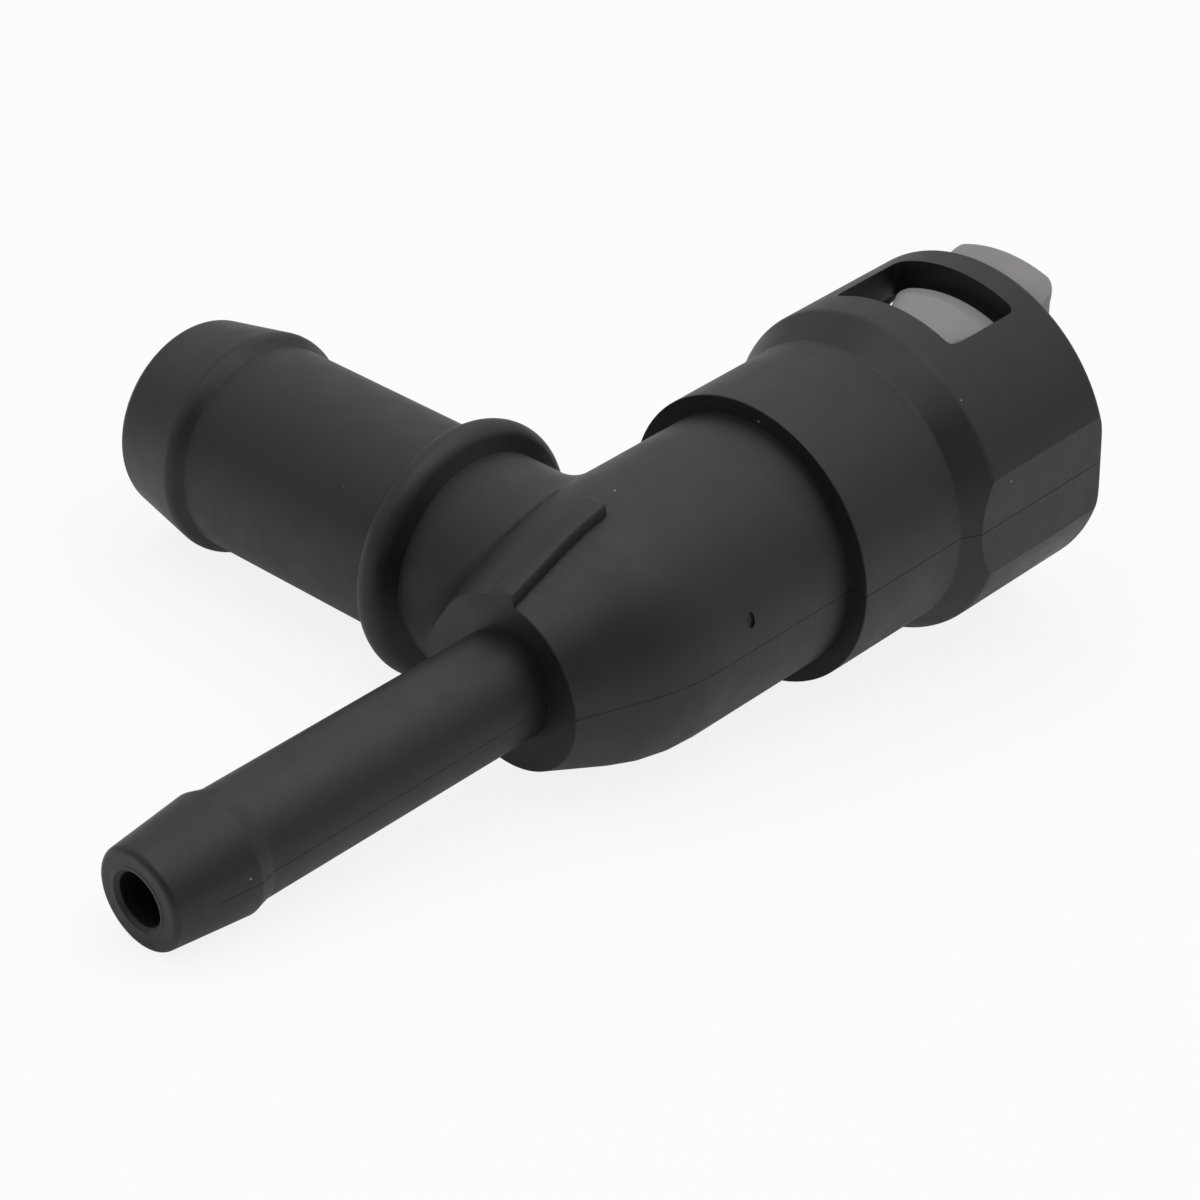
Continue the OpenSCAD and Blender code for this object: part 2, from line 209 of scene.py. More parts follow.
def combined(base, joined=(), cut=()):
    """base with the joined solids added and then the cut ones taken away."""
    for way, others in (("UNION", joined), ("DIFFERENCE", cut)):
        for other in others:
            if way == "DIFFERENCE":
                kept = other.data.attributes["facing"].data
                values = np.zeros(len(kept) * 3, np.float32)
                kept.foreach_get("vector", values)
                kept.foreach_set("vector", -values)
            step = base.modifiers.new(way, "BOOLEAN")
            step.operation = way
            step.solver = "MANIFOLD"
            step.object = other
    ready = base.evaluated_get(bpy.context.evaluated_depsgraph_get())
    mesh = bpy.data.meshes.new_from_object(ready)
    base.modifiers.clear()
    base.data = mesh
    for other in (*joined, *cut):
        bpy.data.objects.remove(other)
    return base


def as_piece(made, node, material):
    """Sets the kept facings as normals, goes to metres, and stands for the CAD node."""
    mesh = made.data
    mesh.transform(Matrix.Scale(MM, 4))
    kept = mesh.attributes["facing"]
    values = np.zeros(len(mesh.loops) * 3, np.float32)
    kept.data.foreach_get("vector", values)
    values = values.reshape(-1, 3)
    values /= np.maximum(np.linalg.norm(values, axis=1), 1e-9)[:, None]
    mesh.attributes.remove(kept)
    mesh.shade_smooth()
    mesh.normals_split_custom_set([tuple(v) for v in values])
    mesh.materials.clear()
    mesh.materials.append(material)
    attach(made, "root")
    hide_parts(node)
    print(made.name, "has", sum(len(p.vertices) - 2 for p in mesh.polygons), "triangles")


# %% [markdown]
# ## The camera
# The camera stands above the corner between the slim barb and the front, a third of a metre away,
# with a long lens and a slight roll. Its place was found by fitting the outlines of the tubes,
# whose axes and sizes are known, to the photograph.

# %% Camera
def camera_from_fit(azimuth, elevation, roll, distance, shift_right, shift_down,
                    focal_px, width_px):
    a, e, r = (math.radians(v) for v in (azimuth, elevation, roll))
    back = np.array([math.sin(a) * math.cos(e), -math.cos(a) * math.cos(e), math.sin(e)])
    right = unit(np.cross(-back, [0, 0, 1]))
    up = np.cross(right, -back)
    right, up = math.cos(r) * right + math.sin(r) * up, math.cos(r) * up - math.sin(r) * right
    place = distance * back - shift_right * right + shift_down * up
    data = bpy.data.cameras.new("camera")
    sensor_mm = 36
    data.sensor_width = sensor_mm
    data.lens = sensor_mm * focal_px / width_px
    data.clip_start, data.clip_end = 0.01, 10
    made = bpy.data.objects.new("camera", data)
    turn = np.eye(4)
    turn[:3, 0], turn[:3, 1], turn[:3, 2], turn[:3, 3] = right, up, back, place * MM
    made.matrix_world = Matrix(turn.tolist())
    bpy.context.scene.collection.objects.link(made)
    bpy.context.scene.camera = made
    return place


place = camera_from_fit(azimuth=-45.511, elevation=33.094, roll=-1.325, distance=331.0,
                        shift_right=0.589, shift_down=1.928, focal_px=3972, width_px=1200)
print("camera at", [round(float(v), 1) for v in place], "mm")

# %% [markdown]
# ## Plastic, nylon and rubber
# All three are procedural. The black moulding isn't a flat black: it has the very fine grain of an
# eroded mould, large faint differences in gloss where the melt met the steel, and a few specks of
# dust. Its colour is very dark, because most of the grey that one sees is the white studio in its
# gloss. A small bevel in the shader softens the crisp moulded edges, as no real mould has perfect
# ones. Colour, roughness and bump vary by noise in the object's own space, so they stay in place
# from every side.

# %% Materials
def new_material(name):
    made = bpy.data.materials.new(name)
    made.use_nodes = True
    nodes, links = made.node_tree.nodes, made.node_tree.links
    shader = nodes["Principled BSDF"]
    where = nodes.new("ShaderNodeTexCoord").outputs["Object"]
    return made, nodes, links, shader, where


def noise(nodes, links, where, per_mm, detail):
    """Noise with so many blots to the millimetre."""
    made = nodes.new("ShaderNodeTexNoise")
    made.inputs["Scale"].default_value = per_mm / MM
    made.inputs["Detail"].default_value = detail
    links.new(where, made.inputs["Vector"])
    return made.outputs["Fac"]


def ranged(nodes, links, value, low, high, from_low=0.3, from_high=0.7):
    made = nodes.new("ShaderNodeMapRange")
    for name, number in (("From Min", from_low), ("From Max", from_high),
                         ("To Min", low), ("To Max", high)):
        made.inputs[name].default_value = number
    links.new(value, made.inputs["Value"])
    return made.outputs["Result"]


def mixed(nodes, links, share, first, second):
    made = nodes.new("ShaderNodeMix")
    made.data_type = "RGBA"
    sockets = made.inputs[0], made.inputs[6], made.inputs[7]
    for socket, value in zip(sockets, (share, first, second)):
        if isinstance(value, tuple):
            socket.default_value = (*value, 1)
        else:
            links.new(value, socket)
    return made.outputs[2]


def moulded(name, dark, light, gloss, grain_mm, grain_depth, edge_mm, dust=0.0):
    """A moulded surface: two shades, a range of roughness, grain, softened edges and dust."""
    made, nodes, links, shader, where = new_material(name)
    blots = noise(nodes, links, where, per_mm=0.09, detail=3)
    colour = mixed(nodes, links, ranged(nodes, links, blots, 0, 1), dark, light)
    grain = noise(nodes, links, where, per_mm=1 / grain_mm, detail=3)
    sheen = noise(nodes, links, where, per_mm=0.35, detail=4)
    rough = ranged(nodes, links, sheen, gloss[0], gloss[1])
    if dust:
        # one speck at most in each cell, and only in about one cell of seven
        cells_per_mm, dust_colour = 0.45, (0.5, 0.5, 0.5)
        cells = nodes.new("ShaderNodeTexVoronoi")
        cells.inputs["Scale"].default_value = cells_per_mm / MM
        links.new(where, cells.inputs["Vector"])
        pick = nodes.new("ShaderNodeSeparateColor")
        links.new(cells.outputs["Color"], pick.inputs["Color"])
        few = ranged(nodes, links, pick.outputs["Red"], 0, 1, 0.86, 0.87)
        dot = ranged(nodes, links, cells.outputs["Distance"], dust, 0, 0.025, 0.055)
        both = nodes.new("ShaderNodeMath")
        both.operation = "MULTIPLY"
        links.new(few, both.inputs[0])
        links.new(dot, both.inputs[1])
        colour = mixed(nodes, links, both.outputs[0], colour, dust_colour)
    links.new(colour, shader.inputs["Base Color"])
    links.new(rough, shader.inputs["Roughness"])
    shader.inputs["IOR"].default_value = 1.47
    soft = nodes.new("ShaderNodeBevel")
    soft.samples = 4
    soft.inputs["Radius"].default_value = edge_mm * MM
    bump = nodes.new("ShaderNodeBump")
    bump.inputs["Strength"].default_value = 1.0
    bump.inputs["Distance"].default_value = grain_depth * MM
    links.new(soft.outputs["Normal"], bump.inputs["Normal"])
    links.new(grain, bump.inputs["Height"])
    links.new(bump.outputs["Normal"], shader.inputs["Normal"])
    return made, shader


black_plastic, _ = moulded(
    "black_plastic", dark=(0.0055, 0.0055, 0.0057), light=(0.0075, 0.0075, 0.0077),
    gloss=(0.43, 0.51), grain_mm=0.16, grain_depth=0.006, edge_mm=0.07, dust=0.6)
nylon, nylon_shader = moulded(
    "pale_nylon", dark=(0.215, 0.215, 0.21), light=(0.255, 0.255, 0.25),
    gloss=(0.34, 0.46), grain_mm=0.3, grain_depth=0.004, edge_mm=0.12)
nylon_shader.inputs["Subsurface Weight"].default_value = 0.12
nylon_shader.inputs["Subsurface Scale"].default_value = 0.6 * MM
rubber, _ = moulded(
    "seal_rubber", dark=(0.012, 0.012, 0.012), light=(0.018, 0.018, 0.018),
    gloss=(0.3, 0.42), grain_mm=0.2, grain_depth=0.003, edge_mm=0.05)
ring_plastic, _ = moulded(
    "ring_plastic", dark=(0.03, 0.03, 0.03), light=(0.042, 0.042, 0.042),
    gloss=(0.3, 0.42), grain_mm=0.25, grain_depth=0.003, edge_mm=0.1)
print("materials:", [m.name for m in (black_plastic, nylon, rubber, ring_plastic)])

# %% [markdown]
# ## The run
# The run is everything along X: the slim barb with its ridge, its tube, the flat front face, the
# cone behind it, the run tube, the seal sleeve with its shoulder, and the socket's head. It is one
# outline, spun once. The barb's tip has the tiny raised ring that the core pin leaves round a bore.
# The corners at the slim tube's root and at the foot of the sleeve's step are left sharp, because a
# rounding there would mirror the ceiling as a pale ring, and on the real part they are black.

# %% Run tube, sleeve and head
slim_tip_x = -51.5
flash_ring = 0.06
head_flat_y, flats_start = 14.45, 28.8
run_outline = outline([
    (slim_tip_x, 0),
    (slim_tip_x, 2.95, 0.03),
    (slim_tip_x + flash_ring, 3.08, 0.05),
    (slim_tip_x + flash_ring, 4.494, 0.6),
    (-47.5, 4.911),
    (-43.436, 5.341, 0.8),
    (-41.864, 4.92, 2),
    (-12, 4.92),
    (-12, 8, 0.15),
    (-2.304, 11.8, 20),
    (17.5, 11.8),
    (17.5, 13.46, 0.1),
    (29.8, 13.46, 0.8),
    (31.564, head_flat_y),
    (32.9, 15.2, 1.2),
    (48.05, 15.2, 0.6),
    (48.05, 0),
])
run = turned("moulding", run_outline, "X", 224)
run = combined(run, cut=[side_block(f"flat_{side}", side, flats_start, 50, head_flat_y, 20)
                         for side in (-1, 1)])
print("run outline has", len(run_outline), "points")

# %% [markdown]
# ## The branch
# The branch is spun about Y. Its stop bead is a round ridge with steep flanks, and the corner on
# the run's side is sharp, so it stays black in any light. The two flanks would meet in a point
# above the ridge. That point is worked out from their slope, and then rounded off to the crest.

# %% Branch tube and stop bead
branch_r = 9.65
bead_y, bead_r, bead_crest, flank = 17.1, 11.9, 1.64, math.radians(67)
peak_r = bead_r - bead_crest + bead_crest / math.cos(flank)
bead_half = (peak_r - branch_r) / math.tan(flank)
branch = turned("branch", outline([
    (0, 0),
    (0, branch_r),
    (bead_y - bead_half, branch_r),
    (bead_y, peak_r, bead_crest),
    (bead_y + bead_half, branch_r, 0.6),
    (42.35, branch_r),
    (43.571, 10.56, 1.4),
    (52, 8.983, 1.2),
    (52, 0),
]), "Y", 192)
print("stop bead", round(2 * bead_half, 2), "mm wide at its foot")

# %% [markdown]
# ## The saddle between branch and run
# This is the hardest form on the part. The moulder rounded the seam between the two tubes, tightly
# on the socket's side and widely towards the slim barb, where it flows into the cone and swells the
# edge of the front face. It could be faked with a bevel on the boolean's edge, but that edge is not
# even. Instead a ball is rolled round the branch so that it always touches branch and run: where it
# touches is where the rounding starts and ends, and the ball's own surface is the rounding. The
# facing at each point is simply towards the ball's centre.

# %% The rolling ball
cone = math.radians(21.4)
blend_r, front_x, front_r, run_r = 20, -12, 8, 11.8
blend_x = (front_x + blend_r * math.sin(cone)
           + (run_r - blend_r * (1 - math.cos(cone)) - front_r) / math.tan(cone))
saddle_round, crease_round, crease_fade = 3, 8.5, 4


def run_radius(x, lift):
    """Radius of a surface that lies lift outside the cone, its blend and the run tube."""
    if x >= blend_x:
        return run_r + lift
    if x >= blend_x - (blend_r + lift) * math.sin(cone):
        return run_r - blend_r + math.sqrt((blend_r + lift) ** 2 - (blend_x - x) ** 2)
    return front_r + (x - front_x) * math.tan(cone) + lift / math.cos(cone)


def saddle_ring(t, steps, sink, core):
    """One section of the saddle, with its facings: the ball's arc and a core inside the wall."""
    cos, sin = math.cos(t), math.sin(t)
    ball = saddle_round + (crease_round - saddle_round) * max(-cos, 0) ** crease_fade
    out = branch_r + ball
    low, high = 0.0, bead_y
    for _ in range(40):
        y = (low + high) / 2
        if y * y + (out * sin) ** 2 > run_radius(out * cos, ball) ** 2:
            high = y
        else:
            low = y
    centre = np.array([out * cos, y, out * sin])
    reach = run_radius(centre[0], ball)
    slope = 0 if centre[0] >= blend_x else math.asin(
        min((blend_x - centre[0]) / (blend_r + ball), math.sin(cone)))
    to_branch = np.array([-cos, 0, -sin])
    to_run = np.array([math.sin(slope), -y / reach * math.cos(slope),
                       -centre[2] / reach * math.cos(slope)])
    span = math.acos(float(to_branch @ to_run))
    ring, facing = [], []
    for k in range(steps + 1):
        way = (math.sin((1 - k / steps) * span) * to_branch
               + math.sin(k / steps * span) * to_run) / math.sin(span)
        deep = sink if k in (0, steps) else 0
        ring.append(centre + (ball + deep) * way)
        facing.append(-way)
    core_x, core_z = (branch_r - core) * cos, (branch_r - core) * sin
    core_y = math.sqrt(run_radius(core_x, 0) ** 2 - core_z ** 2) - core
    ring += [np.array([core_x, core_y, core_z]), np.array([core_x, ring[0][1], core_z])]
    return ring, facing + [facing[-1], facing[0]]


def rolled_saddle(sections=224, steps=14):
    rings = [saddle_ring(2 * math.pi * k / sections, steps, sink=0.01, core=1.3)
             for k in range(sections)]
    size = len(rings[0][0])
    verts = [p for ring, _ in rings for p in ring]
    faces, facing = [], []
    for k in range(sections):
        n = (k + 1) % sections
        for i in range(size):
            j = (i + 1) % size
            faces.append((k * size + i, n * size + i, n * size + j, k * size + j))
            facing += [rings[k][1][i], rings[n][1][i], rings[n][1][j], rings[k][1][j]]
    return solid("saddle", verts, faces, facing)


saddle = rolled_saddle()
saddle = combined(saddle, cut=[block("front_trim", (-40, -30, -30), (front_x - 0.003, 30, 30))])
print("saddle has", len(saddle.data.polygons), "faces")

# %% [markdown]
# ## The rib on the cone
# A low rib stands on top of the cone and ends short of the branch's middle. Its walls are straight,
# its far end has small round corners, and its top edge is only just softened. It is lofted through
# rounded sections that follow the cone, so its height stays even.

# %% Rib
def rib_ring(x, half, top, rounding, draft, base, deep):
    ring = [(x, -half, deep), (x, -half, base)]
    for side in (-1, 1):
        for k in range(5):
            a = k / 4 * math.pi / 2 if side < 0 else (1 - k / 4) * math.pi / 2
            y = side * (half - draft - rounding + rounding * math.cos(a))
            out = top - rounding + rounding * math.sin(a)
            ring.append((x, y, math.sqrt(out ** 2 - y ** 2)))
    return ring + [(x, half, base), (x, half, deep)]


def cone_rib(half=1.4, height=0.95, end=-0.7, corner=0.7, rounding=0.4, draft=0.2):
    stations = list(np.linspace(front_x - 0.004, end - corner, 40))
    stations += [end - corner + corner * math.sin(math.radians(a)) for a in range(10, 91, 10)]
    rings = []
    for x in stations:
        past = max(x - (end - corner), 0)
        narrow = corner - math.sqrt(max(corner ** 2 - past ** 2, 0))
        past = max(x - (end - rounding), 0)
        lower = rounding - math.sqrt(max(rounding ** 2 - past ** 2, 0))
        rings.append(rib_ring(x, half - narrow, run_radius(x, height) - lower, rounding, draft,
                              run_radius(x, 0) - 0.3, 5))
    return lofted("rib", rings)


rib = cone_rib()
print("rib has", len(rib.data.polygons), "faces")

# %% [markdown]
# ## The parting line
# The two halves of the mould met at the height of the axes, and left a hairline along the run's
# front. It is a shallow groove, cut by a thin blade that follows the run's outline, with the head's
# flat. It starts half way up the slim barb's lead, because there the line fades.

# %% Parting line
def parting_blade(side, start_x, end_x, depth=0.07, half=0.065):
    rings = []
    for place, before, after in run_outline:
        x, out = place
        facing = unit(before + after)
        if not start_x < x < end_x:
            continue
        if x > flats_start and out > head_flat_y:
            out, facing = head_flat_y, np.array([0, 1])
        inner = np.array([x, out]) - depth * facing
        outer = np.array([x, out]) + 0.2 * facing
        rings.append([(inner[0], side * inner[1], 0), (outer[0], side * outer[1], -half * 3),
                      (outer[0], side * outer[1], half * 3)])
    return lofted(f"blade_{side}", rings)


# %% [markdown]
# ## What is open inside
# The socket is stepped: the retainer's chamber at the mouth, the seal chamber behind it, the bore
# that guides the pipe, and the flow chamber that follows the cone to the slim bore. One outline
# cuts all of it. The wide bore and the two windows are cut after it. Just inside the mouth a low
# land narrows the chamber, and a cutter with flat sides opens it again where the retainer's arms
# pass. The bores are turned in odd numbers of steps, so that hardly any of their corners falls on a
# corner of the outside, which would leave edges that only touch.

# %% Bores and windows
def window_cutter(side, low_x, high_x, half, corner, from_z):
    ring = []
    right, left, far = high_x - corner, low_x + corner, half - corner
    for cx, cy, turn in ((right, far, 0), (left, far, 90), (left, -far, 180), (right, -far, 270)):
        for k in range(9):
            a = math.radians(turn + k * 90 / 8)
            ring.append((cx + corner * math.cos(a), cy + corner * math.sin(a)))
    return lofted(f"window_{side}", [[(x, y, side * z) for x, y in ring] for z in (from_z, 20)])


chamber_r, land_r = 12.4, 11.9
run_bore_turns, branch_bore_turns = 159, 161
bore_run = turned("bore_run", outline([
    (-52.5, 0),
    (-52.5, 3.71),
    (-51.15, 2.36, 0.1),
    (-10, 2.36),
    (-10, 6.206, 0.5),
    (-3.125, 8.9, 2),
    (8.5, 8.9),
    (8.5, 9.6, 0.1),
    (20.4, 9.6),
    (20.4, 11.8, 0.15),
    (32.0, 11.8),
    (32.0, chamber_r, 0.15),
    (46.0, chamber_r),
    (46.5, land_r),
    (47.15, land_r),
    (47.55, chamber_r),
    (49.05, 13.9),
    (49.05, 0),
]), "X", run_bore_turns)
bore_branch = turned("bore_branch", outline([
    (0, 0),
    (0, 7.7),
    (51.6, 7.7, 0.3),
    (53, 9.1),
    (53, 0),
]), "Y", branch_bore_turns)
arm_room = turned("arm_room", outline([(45, 0), (45, chamber_r), (48, chamber_r), (48, 0)]),
                  "X", run_bore_turns)
arm_room = combined(arm_room, cut=[side_block(f"beside_{side}", side, 44, 49, 7, 13)
                                   for side in (-1, 1)])
windows = [window_cutter(side, low_x=36.25, high_x=44.9, half=6.7, corner=0.8, from_z=9.43)
           for side in (-1, 1)]
cutters = (bore_run, bore_branch, arm_room, *windows)
print("cutters have", [len(cutter.data.polygons) for cutter in cutters], "faces")

# %% [markdown]
# ## The ejector's mark
# Below the middle of the run is a small oval mark, less than a millimetre across, where something
# in the mould touched the part. It is a shallow oval dent with a low island in it.

# %% Oval mark
def oval_plug(name, x, angle, half_x, half_t, low, high, shift=0.0):
    """A short oval plug that points outwards at a place on the run tube."""
    a = math.radians(angle)
    out = np.array([0, -math.cos(a), math.sin(a)])
    round_way = np.array([0, math.sin(a), math.cos(a)])
    rings = []
    for reach in (low, high):
        rings.append([np.array([x, 0, 0]) + out * reach + np.array([half_x * math.cos(b), 0, 0])
                      + round_way * (half_t * math.sin(b) + shift)
                      for b in (math.radians(k * 15) for k in range(24))])
    return lofted(name, rings)


mark_x, mark_angle, mark_depth = 5.2, 13.8, 0.25
mark = oval_plug("mark", mark_x, mark_angle, 0.42, 0.72, run_r - mark_depth, run_r + 0.3)
island = oval_plug("island", mark_x, mark_angle, 0.16, 0.5, run_r - 0.8, run_r - 0.19, 0.25)
print("the mark is cut", mark_depth, "mm deep")

# %% [markdown]
# ## Putting the moulding together
# The order matters: the outside is joined first, then everything that is open is cut through all of
# it, so that the bores also clear the saddle and the branch's root.

# %% The body
body = combined(run, joined=[branch, saddle, rib])
body = combined(body, cut=[mark, parting_blade(side=-1, start_x=-47.6, end_x=47.6), *cutters])
body = combined(body, joined=[island])
as_piece(body, "body", black_plastic)

# %% [markdown]
# ## The retainer
# The retainer is one flexing moulding: a ring deep in the head, two arms, on each arm a pad that
# shows in its window, a land inside that grips behind the pipe's bead, and a flared lip that is
# pressed to let go. An arm is a strip with a different height and width at each distance, so it is
# lofted through sections whose outer radius, inner radius and half width come from three outlines.

# %% Retainer
def height_at(corners):
    points = [place for place, _, _ in outline(corners)]
    xs, hs = np.array([p[0] for p in points]), np.array([p[1] for p in points])
    return xs, lambda x: float(np.interp(x, xs, hs))


def sway(x):
    """The flexible arms lie a little askew: a shift along Y from the ring to the lip's end."""
    return float(np.interp(x, (36, 41, 44.5, 52.25), (0, -0.45, -0.45, 0.15)))


def arm_ring(x, half, top, low, edge, spans=13):
    """A curved strip's section at x: half width, outer and inner radius, and soft edges."""
    edge = min(edge, (top - low) * 0.4)
    ring = []
    for cy, cr, turn in ((half - edge, top - edge, 0), (edge - half, top - edge, 90),
                         (edge - half, low + edge, 180), (half - edge, low + edge, 270)):
        for k in range(5):
            a = math.radians(turn + k * 22.5)
            ring.append((cy + edge * math.cos(a), cr + edge * math.sin(a)))
        if turn in (0, 180):
            way = -1 if turn == 0 else 1
            ring += [(way * (k * 2 / spans - 1) * (half - edge), ring[-1][1])
                     for k in range(1, spans)]
    return [(x, y + sway(x), math.sqrt(max(r * r - y * y, 0))) for y, r in ring]


def retainer_arm(flip):
    root, lip_start, lip_end = 34.65, 48.55, 52.25
    outer_x, outer = height_at([(root, 12.15), (48.65, 12.15, 1.5), (50.25, 13.25, 4),
                                (lip_end, 14.15)])
    inner_x, inner = height_at([(root, 11.25), (40.04, 11.25, 0.3), (40.05, 9.9, 0.3),
                                (41.85, 9.9, 0.5), (46.45, 11.05, 3), (50.95, 11.05, 0.25),
                                (51.1, 12.85, 0.3), (lip_end, 13.55)])
    width_x, width = height_at([(root, 3.8), (39.45, 3.8, 1), (42.45, 5.2, 3), (48.4, 5.2)])
    lip_half, lip_round, soft = 5.85, 1.4, 0.25
    ends = [lip_end - soft * (1 - math.sin(math.radians(a))) for a in range(0, 91, 15)]
    curves = [lip_end - lip_round * (1 - math.sin(math.radians(a))) for a in range(0, 90, 9)]
    curves += [lip_start + lip_round * (1 - math.cos(math.radians(a))) for a in range(0, 91, 9)]
    stations = np.unique(np.round(np.concatenate([outer_x, inner_x, width_x, ends, curves]), 3))
    rings = []
    for x in stations:
        past = max(x - (lip_end - soft), 0)
        shrink = soft - math.sqrt(max(soft ** 2 - past ** 2, 0))
        half = width(x)
        if x >= lip_start:
            corner = max(lip_start + lip_round - x, x - (lip_end - lip_round), 0)
            half = lip_half - lip_round + math.sqrt(max(lip_round ** 2 - corner ** 2, 0))
        rings.append(arm_ring(x, half - shrink, outer(x) - shrink, inner(x) + shrink * 0.6, 0.22))
    return lofted("arm", [[(x, flip * y, flip * z) for x, y, z in ring] for ring in rings], 40)


def retainer_pad(flip):
    """The ramp and the pad: its far corners are round, and its edges are soft."""
    start, end, half, far_round, soft = 38.2, 44.05, 5.5, 1.0, 0.3
    rise_x, rise = height_at([(start, 11.69), (42.45, 13.2, 2), (end, 13.2)])
    width_x, width = height_at([(start, 3.6), (39.45, 3.8, 1), (43.05, 5.5, 1), (end, 5.5)])
    ends = [end - far_round * (1 - math.sin(math.radians(a))) for a in range(0, 91, 6)]
    ends += [end - soft * (1 - math.sin(math.radians(a))) for a in range(0, 91, 15)]
    rings = []
    for x in np.unique(np.round(np.concatenate([rise_x, width_x, ends]), 3)):
        past = max(x - (end - soft), 0)
        shrink = soft - math.sqrt(max(soft ** 2 - past ** 2, 0))
        corner = max(x - (end - far_round), 0)
        narrow = far_round - math.sqrt(max(far_round ** 2 - corner ** 2, 0))
        rings.append(arm_ring(x, width(x) - narrow, rise(x) - shrink, 11.4, soft))
    return lofted("pad", [[(x, flip * y, flip * z) for x, y, z in ring] for ring in rings], 40)


def ring_outline(low_x, high_x, inner, outer, rounding):
    return outline([(low_x, outer, rounding), (high_x, outer, rounding),
                    (high_x, inner, rounding), (low_x, inner, rounding)], closed=True)


pack_bore = 9.75
retainer = turned("snap_retainer", ring_outline(33.3, 36.0, pack_bore, 12.15, 0.3), "X", 128,
                  closed=True)
retainer = combined(retainer, joined=[part(flip) for flip in (1, -1)
                                      for part in (retainer_arm, retainer_pad)])
as_piece(retainer, "retainer", nylon)

# %% [markdown]
# ## Seals, spacer and bush
# Deep in the socket sit two rubber rings, a spacer between them and a bush that holds them in. Only
# a view into the mouth shows them. Each is a closed outline spun about X, with soft edges.

# %% The seal pack
def seal_outline(x, cord=1.2, ring=10.57, steps=32):
    ways = [(-math.cos(2 * math.pi * k / steps), math.sin(2 * math.pi * k / steps))
            for k in range(steps)]
    return [(np.array([x + cord * a, ring + cord * b]), np.array([a, b]), np.array([a, b]))
            for a, b in ways]


bush_outline = outline([(28.4, 11.7, 0.2), (32.05, 11.7, 0.1), (32.05, 12.15, 0.1),
                        (33.05, 12.15, 0.2), (33.05, pack_bore, 0.3), (28.4, pack_bore, 0.2)],
                       closed=True)
for name, points, slot, material in (
        ("inner_seal", seal_outline(21.9), "seal", rubber),
        ("spacer_ring", ring_outline(23.4, 25.4, pack_bore, 11.7, 0.2), "ring", ring_plastic),
        ("outer_seal", seal_outline(26.9), "seal", rubber),
        ("seal_bush", bush_outline, "ring", ring_plastic)):
    as_piece(turned(name + "_piece", points, "X", 96, closed=True), name, material)

# %% [markdown]
# ## The table
# The part lies on the head's lower edge, the slim barb's ridge and the wide barb's ridge, so in the
# part's own frame the table is a slightly tilted plane. Three equations find it: each of the three
# circles just touches the plane. It is one white sheet. For the camera it is mostly plain white,
# and the rest of its look is its real shading, which keeps the soft shadow. In the plastic's gloss
# it shows mostly its real shading, so the undersides stay quiet.

# %% Floor
def resting_plane():
    """Slopes and height of the plane z = a x + b y + c under the three lowest circles."""
    head_x, head_low = 33.6, 15.2
    slim_x, slim_low = -43.2, 5.34
    wide_y, wide_low = 43.6, 10.56
    a = b = 0.0
    for _ in range(20):
        tilt_b, tilt_a = math.sqrt(1 + b * b), math.sqrt(1 + a * a)
        a = -(head_low - slim_low) * tilt_b / (head_x - slim_x)
        c = -slim_low * tilt_b - a * slim_x
        b = -(wide_low * tilt_a + c) / wide_y
    return a, b, c


slope_x, slope_y, level = resting_plane()
table_half = 1500
corners = [(x * table_half, y * table_half, (slope_x * x + slope_y * y) * table_half + level)
           for x, y in ((-1, -1), (1, -1), (1, 1), (-1, 1))]
table_mesh = bpy.data.meshes.new("table")
table_mesh.from_pydata([tuple(v * MM for v in p) for p in corners], [], [(0, 1, 2, 3)])
table = bpy.data.objects.new("table", table_mesh)
bpy.context.scene.collection.objects.link(table)

white, nodes, links, shader, _ = new_material("white_table")
shader.inputs["Base Color"].default_value = (0.86, 0.86, 0.86, 1)
shader.inputs["Roughness"].default_value = 0.9
shader.inputs["Specular IOR Level"].default_value = 0.1
plain = nodes.new("ShaderNodeEmission")
path = nodes.new("ShaderNodeLightPath")
share = None
for ray, plainness in (("Is Camera Ray", 0.86), ("Is Transmission Ray", 0.86),
                       ("Is Glossy Ray", 0.24)):
    part = nodes.new("ShaderNodeMath")
    part.operation = "MULTIPLY"
    part.inputs[1].default_value = plainness
    links.new(path.outputs[ray], part.inputs[0])
    if share is None:
        share = part.outputs[0]
        continue
    either = nodes.new("ShaderNodeMath")
    either.operation = "MAXIMUM"
    links.new(share, either.inputs[0])
    links.new(part.outputs[0], either.inputs[1])
    share = either.outputs[0]
both = nodes.new("ShaderNodeMixShader")
links.new(share, both.inputs[0])
links.new(shader.outputs[0], both.inputs[1])
links.new(plain.outputs[0], both.inputs[2])
links.new(both.outputs[0], nodes["Material Output"].inputs["Surface"])
table_mesh.materials.append(white)
print("table slopes", round(slope_x, 4), round(slope_y, 4), "level", round(level, 2), "mm")

# %% [markdown]
# ## Light
# On black plastic the studio is the picture: the tops mirror the ceiling, the undersides mirror the
# table. The world is a white tent, dim just above the horizon, bright above, and with a dark gap
# where the camera stands, which gives each tube its quiet dark stripe. The tent is endlessly far
# away and lights all parts alike, so a small lamp close above brings back what a near ceiling does:
# the middle is a little brighter than the ends. The camera itself sees plain white.

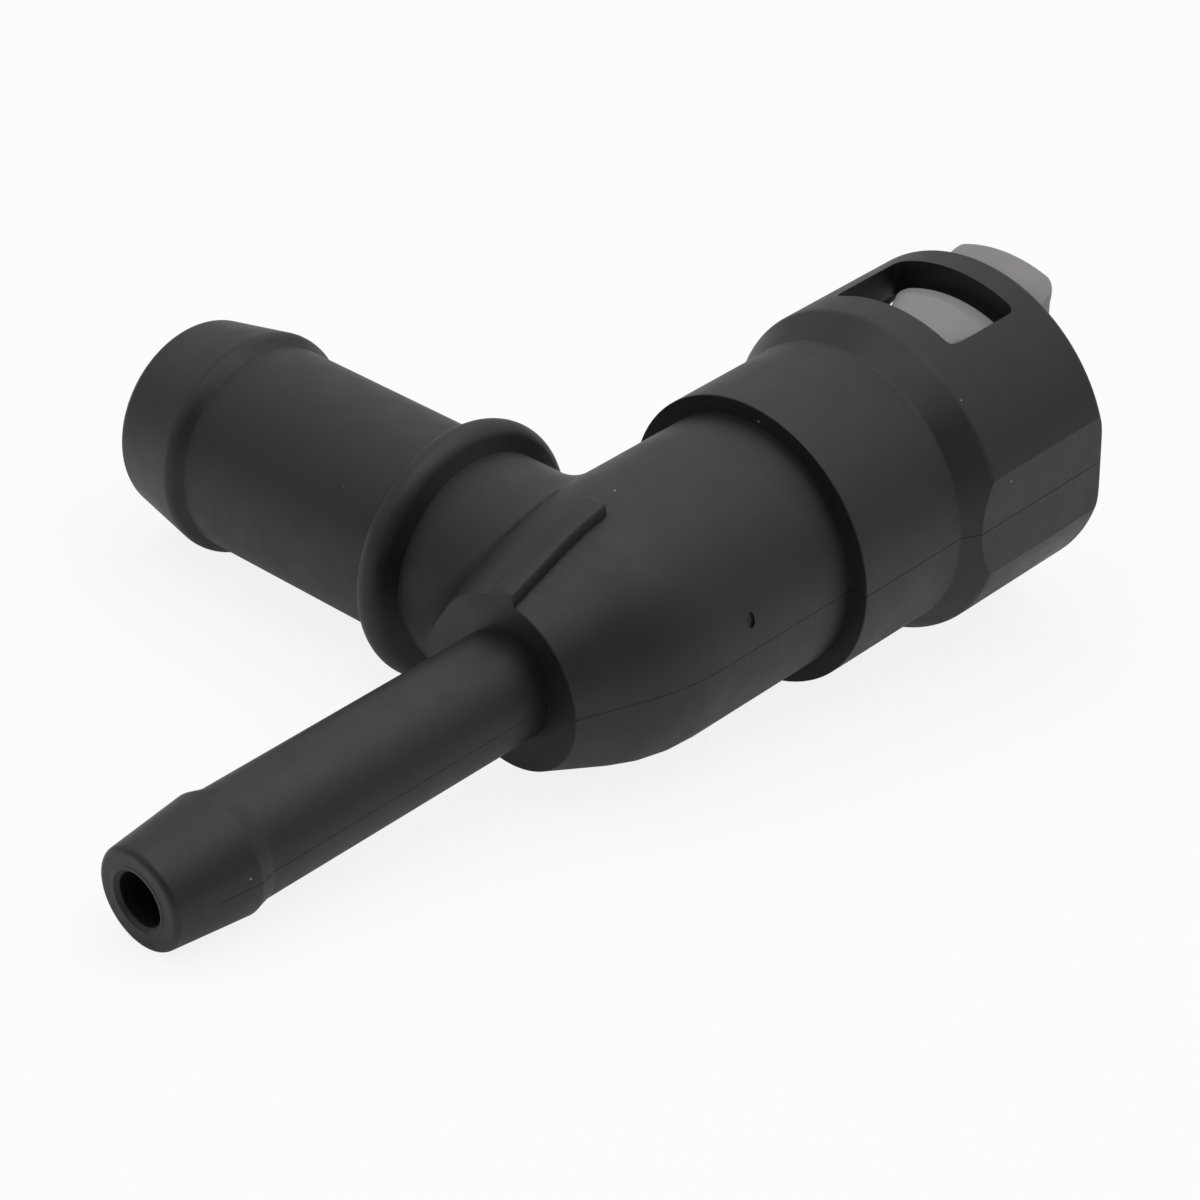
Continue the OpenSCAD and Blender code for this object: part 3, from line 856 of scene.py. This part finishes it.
# %% World and lamp
world = bpy.data.worlds.new("tent")
bpy.context.scene.world = world
world.use_nodes = True
nodes, links = world.node_tree.nodes, world.node_tree.links
look = nodes.new("ShaderNodeTexCoord").outputs["Generated"]
axes = nodes.new("ShaderNodeSeparateXYZ")
links.new(look, axes.inputs[0])
ramp = nodes.new("ShaderNodeValToRGB")
stops = ramp.color_ramp.elements
stops[0].position, stops[0].color = 0.0, (0.45, 0.45, 0.45, 1)
stops[1].position, stops[1].color = 1.0, (0.85, 0.85, 0.85, 1)
for position, level_here in ((0.08, 0.32), (0.25, 0.62), (0.4, 0.76), (0.6, 0.8), (0.8, 0.85)):
    stop = stops.new(position)
    stop.color = (level_here, level_here, level_here, 1)
links.new(axes.outputs["Z"], ramp.inputs["Fac"])
side = nodes.new("ShaderNodeMath")
side.operation = "MULTIPLY_ADD"
side.inputs[1].default_value, side.inputs[2].default_value = 0.25, 1.0
links.new(axes.outputs["X"], side.inputs[0])
towards = nodes.new("ShaderNodeVectorMath")
towards.operation = "DOT_PRODUCT"
gap_middle = (-0.55, -0.75, 0.37)
towards.inputs[1].default_value = gap_middle
links.new(look, towards.inputs[0])
gap = nodes.new("ShaderNodeMapRange")
gap.interpolation_type = "SMOOTHSTEP"
for name, number in (("From Min", 0.6), ("From Max", 1.0), ("To Min", 1.0), ("To Max", 0.1)):
    gap.inputs[name].default_value = number
links.new(towards.outputs["Value"], gap.inputs["Value"])
tent = ramp.outputs["Color"]
for factor in (side.outputs[0], gap.outputs["Result"]):
    product = nodes.new("ShaderNodeMath")
    product.operation = "MULTIPLY"
    links.new(tent, product.inputs[0])
    links.new(factor, product.inputs[1])
    tent = product.outputs[0]
path = nodes.new("ShaderNodeLightPath")
seen = nodes.new("ShaderNodeMath")
seen.operation = "MAXIMUM"
links.new(path.outputs["Is Camera Ray"], seen.inputs[0])
links.new(path.outputs["Is Transmission Ray"], seen.inputs[1])
final = nodes.new("ShaderNodeMix")
final.data_type = "RGBA"
final.inputs[7].default_value = (1, 1, 1, 1)
links.new(seen.outputs[0], final.inputs[0])
links.new(tent, final.inputs[6])
links.new(final.outputs[2], nodes["Background"].inputs["Color"])

lamp_data = bpy.data.lights.new("ceiling", "AREA")
lamp_data.shape = "SQUARE"
lamp_data.size = 0.26
lamp_data.energy = 0.19
lamp = bpy.data.objects.new("ceiling", lamp_data)
lamp.location = (0.01, -0.03, 0.21)
lamp.visible_camera = False
bpy.context.scene.collection.objects.link(lamp)
bpy.context.scene.view_settings.view_transform = "Standard"
print("the tent has", len(stops), "stops, and the lamp stands at",
      [round(v / MM) for v in lamp.location], "mm")
